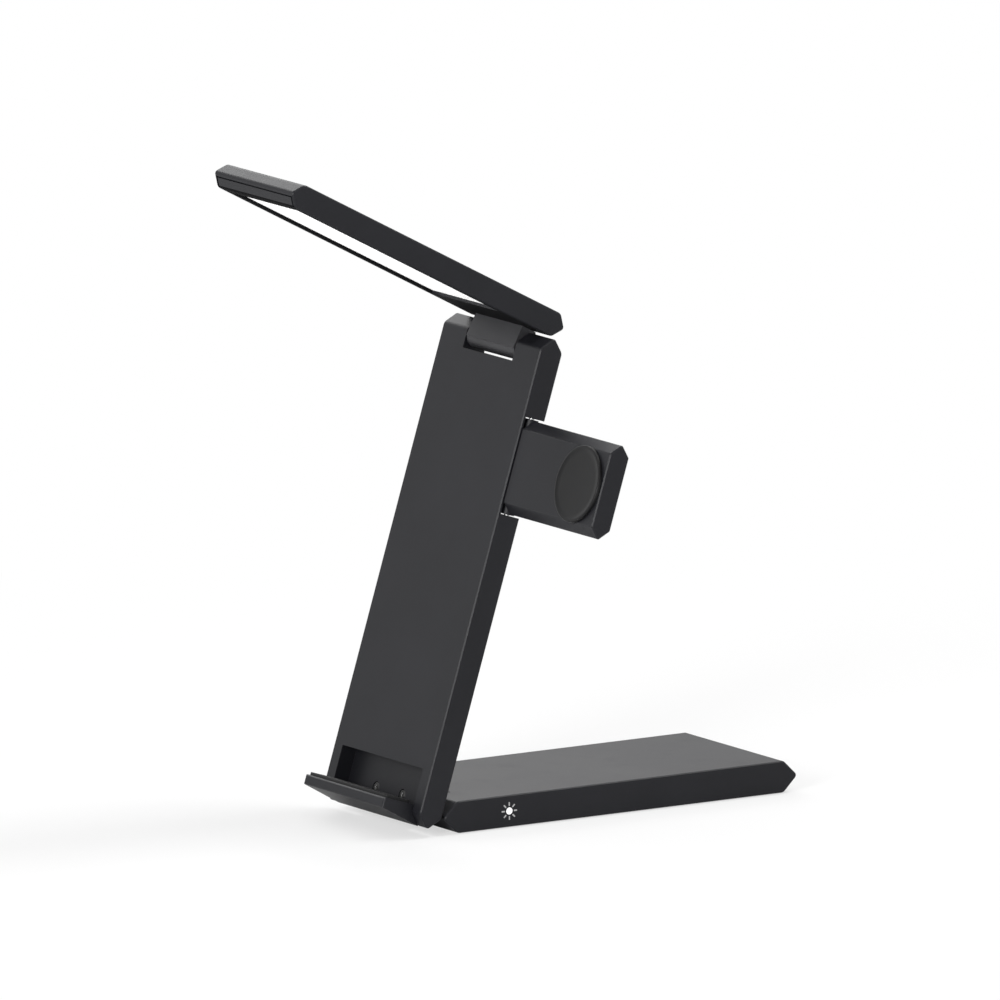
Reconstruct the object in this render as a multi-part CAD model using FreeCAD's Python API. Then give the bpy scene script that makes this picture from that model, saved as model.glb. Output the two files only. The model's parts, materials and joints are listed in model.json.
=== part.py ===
import FreeCAD, Part
import math
import os

# Folding charging stand: a flat base, a leaning panel with a ledge and a swing-out arm, and a lamp on top.
# Millimetres, +Z up. The origin is under the middle of the base, and the panel's face looks to -Y.

# Base slab
BASE_WIDTH = 66.8
BASE_LENGTH = 148.6
BASE_THICKNESS = 11.6
BASE_BEVEL = 5.8
BASE_WALL = 2.0
BASE_SKIN = 1.8

# Foot pad under the base
PAD_THICKNESS = 1.0
PAD_STAND = 0.4
PAD_SIDE_MARGIN = 6.0
PAD_END_MARGIN = 9.0
PAD_CORNER = 6.0

# Leaning panel, as wide as the base
PANEL_LENGTH = 181.2
PANEL_THICKNESS = 9.4
PANEL_BEVEL = 4.7
PANEL_ANGLE = 17.8
PANEL_PLATE = 1.1
PANEL_WALL = 2.0
PANEL_SKIN = 1.6

# Lamp
LAMP_WIDTH = 53.8
LAMP_LENGTH = 128.0
LAMP_THICKNESS = 9.0
LAMP_BEVEL = 3.8
LAMP_ANGLE = 28.3
LAMP_WALL = 1.8
LAMP_SKIN = 1.6
LAMP_REAR_OVERHANG = 5.1
BEZEL = 4.0
WINDOW_LENGTH = 94.0
WINDOW_LIP = 1.1
WINDOW_REBATE = 1.0
DIFFUSER_THICKNESS = 1.8
GROOVE_PLACE = 1.5
GROOVE_WIDTH = 0.6
GROOVE_DEPTH = 0.6
GROOVE_SIDE = 1.0
GROOVE_MARGIN = 0.6

# Swing-out arm
ARM_HEIGHT = 35.0
ARM_FOOT = 116.0
ARM_THICKNESS = 8.1
ARM_BEVEL = 4.05
ARM_WALL = 1.6
ARM_SKIN = 1.6
ARM_PIN_INSET = 2.3
ARM_PIN_BITE = 5.0
ARM_BOSS = 3.3
ARM_POCKET_WALL = 1.0
PUCK_DIAMETER = 28.0
PUCK_PROUD = 1.3
PUCK_SEAT = 0.8
PUCK_CHAMFER = 0.6
PUCK_FROM_END = 14.8

# Ledge, with heights along the panel from its bottom tip and depths out from its middle
LEDGE_CHEEK = 6.0
LEDGE_PIVOT_HEIGHT = 5.4
LEDGE_PIVOT_DEPTH = 2.2
LEDGE_ROOT_RADIUS = 2.1
LEDGE_REACH = 14.9
LEDGE_FRONT_HEIGHT = 3.6
LEDGE_HEEL_HEIGHT = 1.4
LEDGE_HEEL_DEPTH = 5.7
LEDGE_TOE_HEIGHT = 0.3
LEDGE_TOE_DEPTH = 0.6
LEDGE_BACK_HEIGHT = 1.3
LEDGE_ROUND = 0.9
LEDGE_PAD_THICKNESS = 1.5
LEDGE_PAD_PROUD = 1.1
LEDGE_PAD_MARGIN = 0.9

# Hinges
BARREL_WIDTH = 32.2
BARREL_SIDE_GAP = 0.8
BASE_BARREL = 5.2
BASE_BARREL_GAP = 1.2
LAMP_BARREL = 4.85
LAMP_BARREL_GAP = 0.75
LAMP_SKIRT = 1.9
HINGE_PIN = 3.0
HINGE_PIN_BITE = 11.7
SMALL_PIN = 2.0
LEDGE_PIN_BITE = 4.2
BASE_PIVOT_INSET = 6.5
PANEL_PIVOT_HEIGHT = 7.1
LAMP_PIVOT_DROP = 6.2
FOLD_GAP = 1.35
LAMP_FOLD_GAP = 2.0

# Clearances
SEAT_GAP = 0.02
RUN_GAP = 0.05
FOLD_CLEARANCE = 0.4
PAD_GAP = 0.1

# Softened edges
TIP_ROUND = 1.2
LAMP_TIP_ROUND = 1.3
CORNER_ROUND = 2.4
ARM_TIP_ROUND = 0.8
ARM_CORNER_ROUND = 0.9
EDGE_CHAMFER = 0.4

# Screws, drawn with a few flat sides
SCREW_SIDES = 12
SCREW_SHANK = 2.0
SCREW_HEAD = 4.0
SCREW_HEAD_HEIGHT = 1.5
SCREW_CLEARANCE = 0.15
SCREW_BITE = 5.6
SCREW_BOSS = 7.0
BASE_SCREW_INSET = 9.4
BASE_SCREW_FRONT = 18.2
BASE_SCREW_BACK = 13.0
HINGE_SCREW_SPREAD = 9.0
HINGE_SCREW_BITE = 5.0
HINGE_SCREW_RISE = 2.2
LAMP_SCREW_INSET = 3.2

# Coils, shields and magnets
COIL_THICKNESS = 1.2
FERRITE_THICKNESS = 0.8
FERRITE_MARGIN = 1.0
PHONE_COIL_OUTER = 48.0
PHONE_COIL_INNER = 20.0
PHONE_COIL_GAP = 0.2
EARBUD_COIL_PLACE = 70.0
EARBUD_COIL_OUTER = 44.0
EARBUD_COIL_INNER = 20.0
WATCH_COIL_OUTER = 22.0
WATCH_COIL_INNER = 9.0
WATCH_COIL_THICKNESS = 1.0
WATCH_MAGNET = 8.0

# Boards and ballast
BOARD_THICKNESS = 1.2
BOARD_POST = 4.0
BOARD_POST_HEIGHT = 1.6
BOARD_POST_INSET = 3.0
BASE_BOARD_LENGTH = 26.0
BASE_BOARD_WIDTH = 49.0
BASE_BOARD_BACK = 17.0
BASE_BOARD_GAP = 0.3
PANEL_BOARD_LENGTH = 24.0
PANEL_BOARD_WIDTH = 48.0
BALLAST_WIDTH = 45.0
BALLAST_THICKNESS = 2.4
BALLAST_FRONT = 30.0
BALLAST_GAP = 7.0
LIGHT_BOARD_MARGIN = 1.2
LED_LENGTH = 2.8
LED_WIDTH = 1.6
LED_HEIGHT = 0.6
LED_PITCH = 6.5
LED_ROW_SPACING = 18.0

# Power inlet in the left side of the base
USB_WIDTH = 8.9
USB_HEIGHT = 3.2
USB_DEPTH = 7.3
USB_WALL = 0.3
USB_CORNER = 1.5
USB_TONGUE_WIDTH = 6.6
USB_TONGUE_HEIGHT = 0.7
USB_TONGUE_DEPTH = 4.6
USB_RECESS = 0.2
USB_SLOT_GAP = 0.15

# Sun symbol on the right side of the base
SYMBOL_PLACE = 27.3
SYMBOL_DISC = 2.6
SYMBOL_RAYS = 8
SYMBOL_RAY_START = 1.9
SYMBOL_RAY_END = 3.2
SYMBOL_RAY_WIDTH = 0.5
SYMBOL_DEPTH = 0.4
TOUCH_BOARD_LENGTH = 16.0
TOUCH_BOARD_HEIGHT = 6.4
TOUCH_BOARD_THICKNESS = 1.0

# Places that follow from the sizes above. The base is drawn from its front tip, about its
# mid-height. The panel and what it carries are drawn lying flat, from the panel's bottom tip.
TOLERANCE = 1e-4
PANEL_WIDTH = BASE_WIDTH
LEDGE_WIDTH = PANEL_WIDTH - 2 * LEDGE_CHEEK
BASE_MIDDLE = PAD_STAND + BASE_THICKNESS / 2
BASE_INNER = BASE_THICKNESS / 2 - BASE_SKIN
HINGE_SLOT = BARREL_WIDTH + 2 * BARREL_SIDE_GAP
BASE_SLOT_END = BASE_PIVOT_INSET + BASE_BARREL + BASE_BARREL_GAP
PANEL_STANDOFF = BASE_THICKNESS / 2 + FOLD_GAP
PANEL_BACK = -PANEL_THICKNESS / 2
PANEL_FRONT = PANEL_THICKNESS / 2
PLATE_BACK = PANEL_FRONT - PANEL_PLATE
TRAY_FLOOR = PANEL_BACK + PANEL_SKIN
BASE_PIVOT_DEPTH = PANEL_BACK - PANEL_STANDOFF
LAMP_PIVOT_HEIGHT = PANEL_LENGTH - LAMP_PIVOT_DROP
LAMP_SLOT_FLOOR = LAMP_PIVOT_HEIGHT - LAMP_BARREL - LAMP_BARREL_GAP
LAMP_STANDOFF = PANEL_FRONT + LAMP_FOLD_GAP
LAMP_MIDDLE = LAMP_STANDOFF + LAMP_THICKNESS / 2
LAMP_FLOOR = LAMP_STANDOFF + LAMP_SKIN
LAMP_TIP = LAMP_REAR_OVERHANG - LAMP_LENGTH
LEDGE_TOP = LEDGE_PIVOT_HEIGHT + LEDGE_ROOT_RADIUS
LEDGE_FRONT = LEDGE_PIVOT_DEPTH + LEDGE_REACH
RECESS_FLOOR = LEDGE_PIVOT_DEPTH - LEDGE_ROOT_RADIUS - LEDGE_PAD_PROUD - FOLD_CLEARANCE
RECESS_TOP = LEDGE_PIVOT_HEIGHT + LEDGE_REACH + FOLD_CLEARANCE
RECESS_HALF = LEDGE_WIDTH / 2 + FOLD_CLEARANCE
ARM_PIN_X = PANEL_WIDTH / 2 - ARM_PIN_INSET
ARM_PIN_DEPTH = (PLATE_BACK - FOLD_CLEARANCE - ARM_THICKNESS / 2) / 2
ARM_BODY_START = PANEL_WIDTH / 2 + FOLD_CLEARANCE
ARM_KNUCKLE_RADIUS = ARM_PIN_INSET + FOLD_CLEARANCE
POCKET_END = ARM_POCKET_WALL - PANEL_WIDTH / 2
ARM_SWEEP = ARM_PIN_X - POCKET_END - FOLD_CLEARANCE
ARM_REACH = math.sqrt(ARM_SWEEP ** 2 - (ARM_THICKNESS / 2 - ARM_PIN_DEPTH) ** 2)
ARM_END = ARM_PIN_X + ARM_REACH
ARM_MIDDLE = ARM_FOOT + ARM_HEIGHT / 2
ARM_INNER = ARM_THICKNESS / 2 - ARM_SKIN
POCKET_FOOT = ARM_FOOT - FOLD_CLEARANCE
POCKET_HEAD = ARM_FOOT + ARM_HEIGHT + FOLD_CLEARANCE
PANEL_ROOM_FOOT = RECESS_TOP + PANEL_WALL
PANEL_ROOM_HEAD = POCKET_FOOT - PANEL_WALL
PHONE_SHIELD = PHONE_COIL_OUTER + 2 * FERRITE_MARGIN
PANEL_ROOM_GAP = (PANEL_ROOM_HEAD - PANEL_ROOM_FOOT - PANEL_BOARD_LENGTH - PHONE_SHIELD) / 3
PANEL_BOARD_FOOT = PANEL_ROOM_FOOT + PANEL_ROOM_GAP
PHONE_COIL_HEIGHT = PANEL_ROOM_HEAD - PANEL_ROOM_GAP - PHONE_SHIELD / 2
EARBUD_SHIELD = EARBUD_COIL_OUTER + 2 * FERRITE_MARGIN
PUCK_X = ARM_END - PUCK_FROM_END
PIN_HALF = HINGE_SLOT / 2 + HINGE_PIN_BITE


def box(x0, x1, y0, y1, z0, z1):
    """Box between two values on each axis."""
    return Part.makeBox(x1 - x0, y1 - y0, z1 - z0, FreeCAD.Vector(x0, y0, z0))


def rod_x(radius, x0, x1, y, z):
    """Round rod along X."""
    return Part.makeCylinder(radius, x1 - x0, FreeCAD.Vector(x0, y, z), FreeCAD.Vector(1, 0, 0))


def rod_y(radius, y0, y1, x, z):
    """Round rod along Y."""
    return Part.makeCylinder(radius, y1 - y0, FreeCAD.Vector(x, y0, z), FreeCAD.Vector(0, 1, 0))


def rod_z(radius, z0, z1, x, y):
    """Round rod along Z."""
    return Part.makeCylinder(radius, z1 - z0, FreeCAD.Vector(x, y, z0))


def ring_z(outer, inner, z0, z1, x, y):
    """Flat ring about Z, from its two diameters."""
    return rod_z(outer / 2, z0, z1, x, y).cut(rod_z(inner / 2, z0, z1, x, y))


def faceted_rod(radius, z0, z1, x, y):
    """Rod along Z with a few flat sides."""
    turn = 2 * math.pi / SCREW_SIDES
    corners = [FreeCAD.Vector(x + radius * math.cos(side * turn), y + radius * math.sin(side * turn), z0)
               for side in range(SCREW_SIDES)]
    return Part.Face(Part.makePolygon(corners + corners[:1])).extrude(FreeCAD.Vector(0, 0, z1 - z0))


def square_block(width, z0, z1, x, y):
    """Block with a square plan about a point."""
    half = width / 2
    return box(x - half, x + half, y - half, y + half, z0, z1)


def prism_x(outline, x0, x1):
    """Solid of a closed (y, z) outline, drawn out along X."""
    points = [FreeCAD.Vector(x0, y, z) for y, z in outline]
    face = Part.Face(Part.makePolygon(points + points[:1]))
    return face.extrude(FreeCAD.Vector(x1 - x0, 0, 0))


def rounded_plate(x0, x1, y0, y1, z0, z1, corner):
    """Plate with four round corners."""
    plate = box(x0, x1, y0, y1, z0, z1)
    corners = [edge for edge in plate.Edges if edge.BoundBox.ZLength > (z1 - z0) / 2]
    return plate.makeFillet(corner, corners)


def pointed_slab(width, length, thickness, bevel, tip_round, corner_round):
    """Slab along Y from its tip at y = 0, about z = 0, with both ends bevelled to a blunt tip."""
    half = thickness / 2
    outline = [(0, 0), (bevel, half), (length - bevel, half),
               (length, 0), (length - bevel, -half), (bevel, -half)]
    slab = prism_x(outline, -width / 2, width / 2)
    tips = [edge for edge in slab.Edges
            if edge.BoundBox.XLength > width / 2 and abs(edge.CenterOfMass.z) < TOLERANCE]
    slab = slab.makeFillet(tip_round, tips)
    corners = [edge for edge in slab.Edges
               if edge.BoundBox.XLength > width / 2 and abs(edge.CenterOfMass.z) > half - TOLERANCE]
    slab = slab.makeFillet(corner_round, corners)
    rims = [edge for edge in slab.Edges if edge.BoundBox.XLength < TOLERANCE]
    return slab.makeChamfer(EDGE_CHAMFER, rims)


def above(shape, level):
    """The part of a shape over a level."""
    size = shape.BoundBox
    return shape.common(box(size.XMin, size.XMax, size.YMin, size.YMax, level, size.ZMax))


def below(shape, level):
    """The part of a shape under a level."""
    size = shape.BoundBox
    return shape.common(box(size.XMin, size.XMax, size.YMin, size.YMax, size.ZMin, level))


def barrel_block(radius, neck):
    """Hinge block: a barrel about X at the origin, and a neck with a (y, z) outline."""
    half = BARREL_WIDTH / 2
    barrel = rod_x(radius, -half, half, 0, 0)
    block = barrel.fuse(prism_x(neck, -half, half)).removeSplitter()
    return block.cut(rod_x(HINGE_PIN / 2 + RUN_GAP, -half, half, 0, 0))


def screw(x, y, seat, bite, direction):
    """Cap screw along Z: its head lies against the seat, its shank points along direction."""
    head = faceted_rod(SCREW_HEAD / 2, seat - direction * SCREW_HEAD_HEIGHT, seat, x, y)
    return head.fuse(faceted_rod(SCREW_SHANK / 2, seat, seat + direction * bite, x, y))


def screw_hole(x, y, seat, bite, direction, gap):
    """Room for a screw's shank, a little longer than its bite."""
    return faceted_rod(SCREW_SHANK / 2 + gap, seat, seat + direction * (bite + gap), x, y)


def hinge_pin(y, z):
    """Steel pin along X through a barrel block and both sides of its slot."""
    return rod_x(HINGE_PIN / 2, -PIN_HALF, PIN_HALF, y, z)


def hinge_bore(y, z):
    """Room for a hinge pin in the sides of its slot."""
    return rod_x(HINGE_PIN / 2 + SEAT_GAP, -PIN_HALF - SEAT_GAP, PIN_HALF + SEAT_GAP, y, z)


def base_screw_places():
    """Middle of each screw boss in the base."""
    x = BASE_WIDTH / 2 - BASE_SCREW_INSET
    ends = (BASE_SCREW_FRONT, BASE_LENGTH - BASE_SCREW_BACK)
    return [(side * x, y) for side in (-1, 1) for y in ends]


def base_board_box():
    """Plan of the power board: left, right, front and back."""
    left = BASE_BOARD_GAP + BASE_WALL - BASE_WIDTH / 2
    back = BASE_LENGTH - BASE_BOARD_BACK
    return left, left + BASE_BOARD_WIDTH, back - BASE_BOARD_LENGTH, back


def board_posts(left, right, front, back, floor):
    """Four short posts that carry a board."""
    posts = []
    for x in (left + BOARD_POST_INSET, right - BOARD_POST_INSET):
        for y in (front + BOARD_POST_INSET, back - BOARD_POST_INSET):
            posts.append(square_block(BOARD_POST, floor, floor + BOARD_POST_HEIGHT, x, y))
    return posts


def usb_place():
    """Middle of the power inlet, along the base and in height."""
    left, right, front, back = base_board_box()
    board_top = -BASE_INNER + BOARD_POST_HEIGHT + BOARD_THICKNESS
    return (front + back) / 2, board_top + USB_HEIGHT / 2


def usb_block(x0, x1, grow):
    """Round-cornered block along X with the outline of the power inlet, grown all round."""
    y, z = usb_place()
    wide = USB_WIDTH / 2 + grow
    tall = USB_HEIGHT / 2 + grow
    block = box(x0, x1, y - wide, y + wide, z - tall, z + tall)
    corners = [edge for edge in block.Edges if edge.BoundBox.XLength > TOLERANCE]
    return block.makeFillet(USB_CORNER + grow, corners)


def symbol_pieces(grow):
    """Disc and rays of the sun symbol, let into the right side of the base."""
    x1 = BASE_WIDTH / 2
    x0 = x1 - SYMBOL_DEPTH - grow
    pieces = [rod_x(SYMBOL_DISC / 2 + grow, x0, x1, SYMBOL_PLACE, 0)]
    half = SYMBOL_RAY_WIDTH / 2 + grow
    middle = FreeCAD.Vector(0, SYMBOL_PLACE, 0)
    for index in range(SYMBOL_RAYS):
        ray = box(x0, x1, SYMBOL_PLACE - half, SYMBOL_PLACE + half,
                  SYMBOL_RAY_START - grow, SYMBOL_RAY_END + grow)
        ray.rotate(middle, FreeCAD.Vector(1, 0, 0), index * 360 / SYMBOL_RAYS)
        pieces.append(ray)
    return pieces


def foot_pad_plate(gap, z0, z1):
    """Outline of the foot pad, taken in by a gap."""
    half = BASE_WIDTH / 2 - PAD_SIDE_MARGIN - gap
    front = BASE_SLOT_END + gap
    back = BASE_LENGTH - PAD_END_MARGIN - gap
    return rounded_plate(-half, half, front, back, z0, z1, PAD_CORNER - gap)


def base_shells():
    """Lower and upper half shells of the base."""
    half_slot = HINGE_SLOT / 2
    slab = pointed_slab(BASE_WIDTH, BASE_LENGTH, BASE_THICKNESS, BASE_BEVEL, TIP_ROUND, CORNER_ROUND)
    slot = box(-half_slot, half_slot, -TIP_ROUND, BASE_SLOT_END, -BASE_THICKNESS, BASE_THICKNESS)
    inside = BASE_WIDTH / 2 - BASE_WALL
    cavity = box(-inside, inside, BASE_SLOT_END + BASE_WALL, BASE_LENGTH - BASE_BEVEL - BASE_WALL,
                 -BASE_INNER, BASE_INNER)
    bosses = [square_block(SCREW_BOSS, -BASE_INNER, BASE_INNER, x, y) for x, y in base_screw_places()]
    cavity = cavity.cut(bosses + board_posts(*base_board_box(), -BASE_INNER))
    underside = -BASE_THICKNESS / 2
    seat = underside + PAD_THICKNESS - PAD_STAND
    cuts = [slot, cavity, hinge_bore(BASE_PIVOT_INSET, 0), foot_pad_plate(0, underside, seat)]
    cuts += symbol_pieces(SEAT_GAP)
    cuts.append(usb_block(-BASE_WIDTH / 2, -inside, USB_SLOT_GAP))
    for x, y in base_screw_places():
        head_seat = seat + SCREW_HEAD_HEIGHT
        cuts.append(faceted_rod(SCREW_HEAD / 2 + SCREW_CLEARANCE, underside, head_seat, x, y))
        cuts.append(screw_hole(x, y, head_seat, SCREW_BITE, 1, SEAT_GAP))
    hollow = slab.cut(cuts)
    return below(hollow, 0), above(hollow, 0)


def base_foot_pad():
    """Soft pad that the stand rests on."""
    underside = -BASE_THICKNESS / 2
    return foot_pad_plate(PAD_GAP, underside - PAD_STAND, underside + PAD_THICKNESS - PAD_STAND)


def base_screws():
    """Four screws that close the base from below."""
    seat = PAD_THICKNESS - PAD_STAND - BASE_THICKNESS / 2 + SCREW_HEAD_HEIGHT
    return Part.makeCompound([screw(x, y, seat, SCREW_BITE, 1) for x, y in base_screw_places()])


def base_ballast():
    """Steel plate on the floor of the base."""
    half = BALLAST_WIDTH / 2
    left, right, board_front, board_back = base_board_box()
    return box(-half, half, BALLAST_FRONT, board_front - BALLAST_GAP,
               -BASE_INNER, -BASE_INNER + BALLAST_THICKNESS)


def base_circuit_board():
    """Power board on its posts."""
    left, right, front, back = base_board_box()
    foot = -BASE_INNER + BOARD_POST_HEIGHT
    return box(left, right, front, back, foot, foot + BOARD_THICKNESS)


def usb_c_socket():
    """Metal sleeve of the power inlet, closed at the back, with its contact tongue."""
    y, z = usb_place()
    mouth = USB_RECESS - BASE_WIDTH / 2
    back = mouth + USB_DEPTH
    sleeve = usb_block(mouth, back, 0).cut(usb_block(mouth, back - USB_WALL, -USB_WALL))
    wide = USB_TONGUE_WIDTH / 2
    tall = USB_TONGUE_HEIGHT / 2
    return sleeve.fuse(box(back - USB_WALL - USB_TONGUE_DEPTH, back, y - wide, y + wide, z - tall, z + tall))


def earbud_coil():
    """Flat coil against the underside of the base's top."""
    return ring_z(EARBUD_COIL_OUTER, EARBUD_COIL_INNER, BASE_INNER - COIL_THICKNESS, BASE_INNER,
                  0, EARBUD_COIL_PLACE)


def earbud_ferrite():
    """Square shield under the base's coil."""
    top = BASE_INNER - COIL_THICKNESS
    return square_block(EARBUD_SHIELD, top - FERRITE_THICKNESS, top, 0, EARBUD_COIL_PLACE)


def touch_key_board():
    """Sensor board against the inside of the right wall, behind the sun symbol."""
    wall = BASE_WIDTH / 2 - BASE_WALL
    half = TOUCH_BOARD_LENGTH / 2
    return box(wall - TOUCH_BOARD_THICKNESS, wall, SYMBOL_PLACE - half, SYMBOL_PLACE + half,
               -TOUCH_BOARD_HEIGHT / 2, TOUCH_BOARD_HEIGHT / 2)


def panel_board_box():
    """Plan of the panel's board: left, right, foot and head."""
    half = PANEL_BOARD_WIDTH / 2
    return -half, half, PANEL_BOARD_FOOT, PANEL_BOARD_FOOT + PANEL_BOARD_LENGTH


def hinge_screw_places():
    """Middle of each screw of the panel's hinge block."""
    height = PANEL_PIVOT_HEIGHT + HINGE_SCREW_RISE
    return [(side * HINGE_SCREW_SPREAD, height) for side in (-1, 1)]


def panel_coil_seat():
    """Height of the face that the shield of the panel's coil lies on."""
    return PLATE_BACK - PHONE_COIL_GAP - COIL_THICKNESS - FERRITE_THICKNESS


def panel_cavity():
    """Hollow of the tray, without the coil seat, the board posts and the boss of the arm's pin."""
    inside = PANEL_WIDTH / 2 - PANEL_WALL
    cavity = box(-inside, inside, PANEL_ROOM_FOOT, PANEL_ROOM_HEAD, TRAY_FLOOR, PLATE_BACK)
    seat = square_block(PHONE_SHIELD, TRAY_FLOOR, panel_coil_seat(), 0, PHONE_COIL_HEIGHT)
    boss = box(ARM_PIN_X - ARM_BOSS, inside, PANEL_ROOM_HEAD - ARM_PIN_BITE, PANEL_ROOM_HEAD,
               TRAY_FLOOR, PLATE_BACK)
    return cavity.cut([seat, boss] + board_posts(*panel_board_box(), TRAY_FLOOR))


def panel_housing():
    """Front plate and rear tray of the panel."""
    half_slot = HINGE_SLOT / 2
    slab = pointed_slab(PANEL_WIDTH, PANEL_LENGTH, PANEL_THICKNESS, PANEL_BEVEL, TIP_ROUND, CORNER_ROUND)
    slot = box(-half_slot, half_slot, LAMP_SLOT_FLOOR, PANEL_LENGTH, PANEL_BACK, PANEL_FRONT)
    recess = box(-RECESS_HALF, RECESS_HALF, 0, RECESS_TOP, RECESS_FLOOR, PANEL_FRONT)
    slab = slab.cut([slot, recess])
    pocket = box(POCKET_END, PANEL_WIDTH / 2, POCKET_FOOT, POCKET_HEAD, PANEL_BACK, PLATE_BACK)
    arm_bore = rod_y(SMALL_PIN / 2 + SEAT_GAP, POCKET_FOOT - ARM_PIN_BITE - SEAT_GAP,
                     POCKET_HEAD + ARM_PIN_BITE + SEAT_GAP, ARM_PIN_X, ARM_PIN_DEPTH)
    ledge_bite = RECESS_HALF + LEDGE_PIN_BITE + SEAT_GAP
    ledge_bore = rod_x(SMALL_PIN / 2 + SEAT_GAP, -ledge_bite, ledge_bite,
                       LEDGE_PIVOT_HEIGHT, LEDGE_PIVOT_DEPTH)
    cuts = [panel_cavity(), pocket, arm_bore, ledge_bore, hinge_bore(LAMP_PIVOT_HEIGHT, 0)]
    for x, y in hinge_screw_places():
        seat = RECESS_FLOOR - SCREW_HEAD_HEIGHT
        cuts.append(faceted_rod(SCREW_HEAD / 2 + SCREW_CLEARANCE, seat, RECESS_FLOOR, x, y))
        cuts.append(screw_hole(x, y, seat, seat - PANEL_BACK, -1, SCREW_CLEARANCE))
    return above(slab, PLATE_BACK), below(slab, PLATE_BACK).cut(cuts)


def panel_hinge_block():
    """Barrel block on the back of the panel, which turns in the slot of the base."""
    neck = [(-BASE_BARREL, 0), (BASE_BARREL, 0), (BASE_BARREL, PANEL_STANDOFF),
            (-BASE_BARREL, PANEL_STANDOFF)]
    block = barrel_block(BASE_BARREL, neck)
    block.translate(FreeCAD.Vector(0, PANEL_PIVOT_HEIGHT, BASE_PIVOT_DEPTH))
    holes = [screw_hole(x, y, PANEL_BACK, HINGE_SCREW_BITE, -1, SEAT_GAP) for x, y in hinge_screw_places()]
    return block.cut(holes)


def panel_hinge_screws():
    """Two screws from the ledge's recess into the hinge block."""
    seat = RECESS_FLOOR - SCREW_HEAD_HEIGHT
    bite = seat - PANEL_BACK + HINGE_SCREW_BITE
    return Part.makeCompound([screw(x, y, seat, bite, -1) for x, y in hinge_screw_places()])


def phone_ferrite():
    """Square shield on the tray's coil seat."""
    foot = panel_coil_seat()
    return square_block(PHONE_SHIELD, foot, foot + FERRITE_THICKNESS, 0, PHONE_COIL_HEIGHT)


def phone_coil():
    """Flat coil behind the front plate."""
    foot = panel_coil_seat() + FERRITE_THICKNESS
    return ring_z(PHONE_COIL_OUTER, PHONE_COIL_INNER, foot, foot + COIL_THICKNESS, 0, PHONE_COIL_HEIGHT)


def panel_circuit_board():
    """Charging board on its posts in the tray."""
    left, right, front, back = panel_board_box()
    foot = TRAY_FLOOR + BOARD_POST_HEIGHT
    return box(left, right, front, back, foot, foot + BOARD_THICKNESS)


def ledge_pin():
    """Thin pin of the ledge, held in the panel's two cheeks."""
    bite = RECESS_HALF + LEDGE_PIN_BITE
    return rod_x(SMALL_PIN / 2, -bite, bite, LEDGE_PIVOT_HEIGHT, LEDGE_PIVOT_DEPTH)


def watch_arm_pin():
    """Thin pin of the arm, held above and below its pocket."""
    return rod_y(SMALL_PIN / 2, POCKET_FOOT - ARM_PIN_BITE, POCKET_HEAD + ARM_PIN_BITE,
                 ARM_PIN_X, ARM_PIN_DEPTH)


def ledge_pad_plate(gap, top):
    """Outline of the ledge's soft strip, taken in by a gap, up to a given height."""
    half = LEDGE_WIDTH / 2 - LEDGE_PAD_MARGIN - gap
    foot = LEDGE_TOP - LEDGE_PAD_THICKNESS + LEDGE_PAD_PROUD
    inner = PANEL_FRONT + LEDGE_PAD_MARGIN + gap
    outer = LEDGE_FRONT - LEDGE_PAD_MARGIN - gap
    return box(-half, half, foot, top, inner, outer)


def ledge():
    """Wedge-shaped shelf at the panel's foot, with a round root about its pin."""
    half = LEDGE_WIDTH / 2
    rear = LEDGE_PIVOT_DEPTH - LEDGE_ROOT_RADIUS
    diagonal = LEDGE_ROOT_RADIUS * math.sqrt(0.5)
    outline = [(LEDGE_TOP, LEDGE_PIVOT_DEPTH), (LEDGE_TOP, LEDGE_FRONT),
               (LEDGE_TOP - LEDGE_FRONT_HEIGHT, LEDGE_FRONT), (LEDGE_HEEL_HEIGHT, LEDGE_HEEL_DEPTH),
               (LEDGE_TOE_HEIGHT, LEDGE_TOE_DEPTH), (LEDGE_BACK_HEIGHT, rear), (LEDGE_PIVOT_HEIGHT, rear)]
    points = [FreeCAD.Vector(-half, y, z) for y, z in outline]
    shoulder = FreeCAD.Vector(-half, LEDGE_PIVOT_HEIGHT + diagonal, LEDGE_PIVOT_DEPTH - diagonal)
    edges = Part.makePolygon(points).Edges
    edges.append(Part.Arc(points[-1], shoulder, points[0]).toShape())
    wedge = Part.Face(Part.Wire(edges)).extrude(FreeCAD.Vector(LEDGE_WIDTH, 0, 0))
    lips = [edge for edge in wedge.Edges if edge.BoundBox.ZMin > LEDGE_FRONT - TOLERANCE]
    wedge = wedge.makeFillet(LEDGE_ROUND, lips)
    bore = rod_x(SMALL_PIN / 2 + RUN_GAP, -half, half, LEDGE_PIVOT_HEIGHT, LEDGE_PIVOT_DEPTH)
    return wedge.cut([bore, ledge_pad_plate(0, LEDGE_TOP)])


def ledge_pad():
    """Soft strip let into the top of the ledge."""
    return ledge_pad_plate(PAD_GAP, LEDGE_TOP + LEDGE_PAD_PROUD)


def window_box(grow, z0, z1):
    """Light window under the lamp, grown all round, between two heights."""
    half = LAMP_WIDTH / 2 - BEZEL + grow
    front = LAMP_TIP + LAMP_BEVEL + BEZEL
    return box(-half, half, front - grow, front + WINDOW_LENGTH + grow, z0, z1)


def nose_prism(start, end, x0, x1):
    """Bar along X, sunk into the lamp's lower front bevel between two distances from the tip."""
    half = LAMP_THICKNESS / 2
    slope = math.hypot(LAMP_BEVEL, half)
    along = (LAMP_BEVEL / slope, -half / slope)
    inward = (half / slope, LAMP_BEVEL / slope)
    corners = [(start, -GROOVE_DEPTH), (end, -GROOVE_DEPTH), (end, GROOVE_DEPTH), (start, GROOVE_DEPTH)]
    outline = [(run * along[0] + sink * inward[0], run * along[1] + sink * inward[1])
               for run, sink in corners]
    return prism_x(outline, x0, x1)


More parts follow.
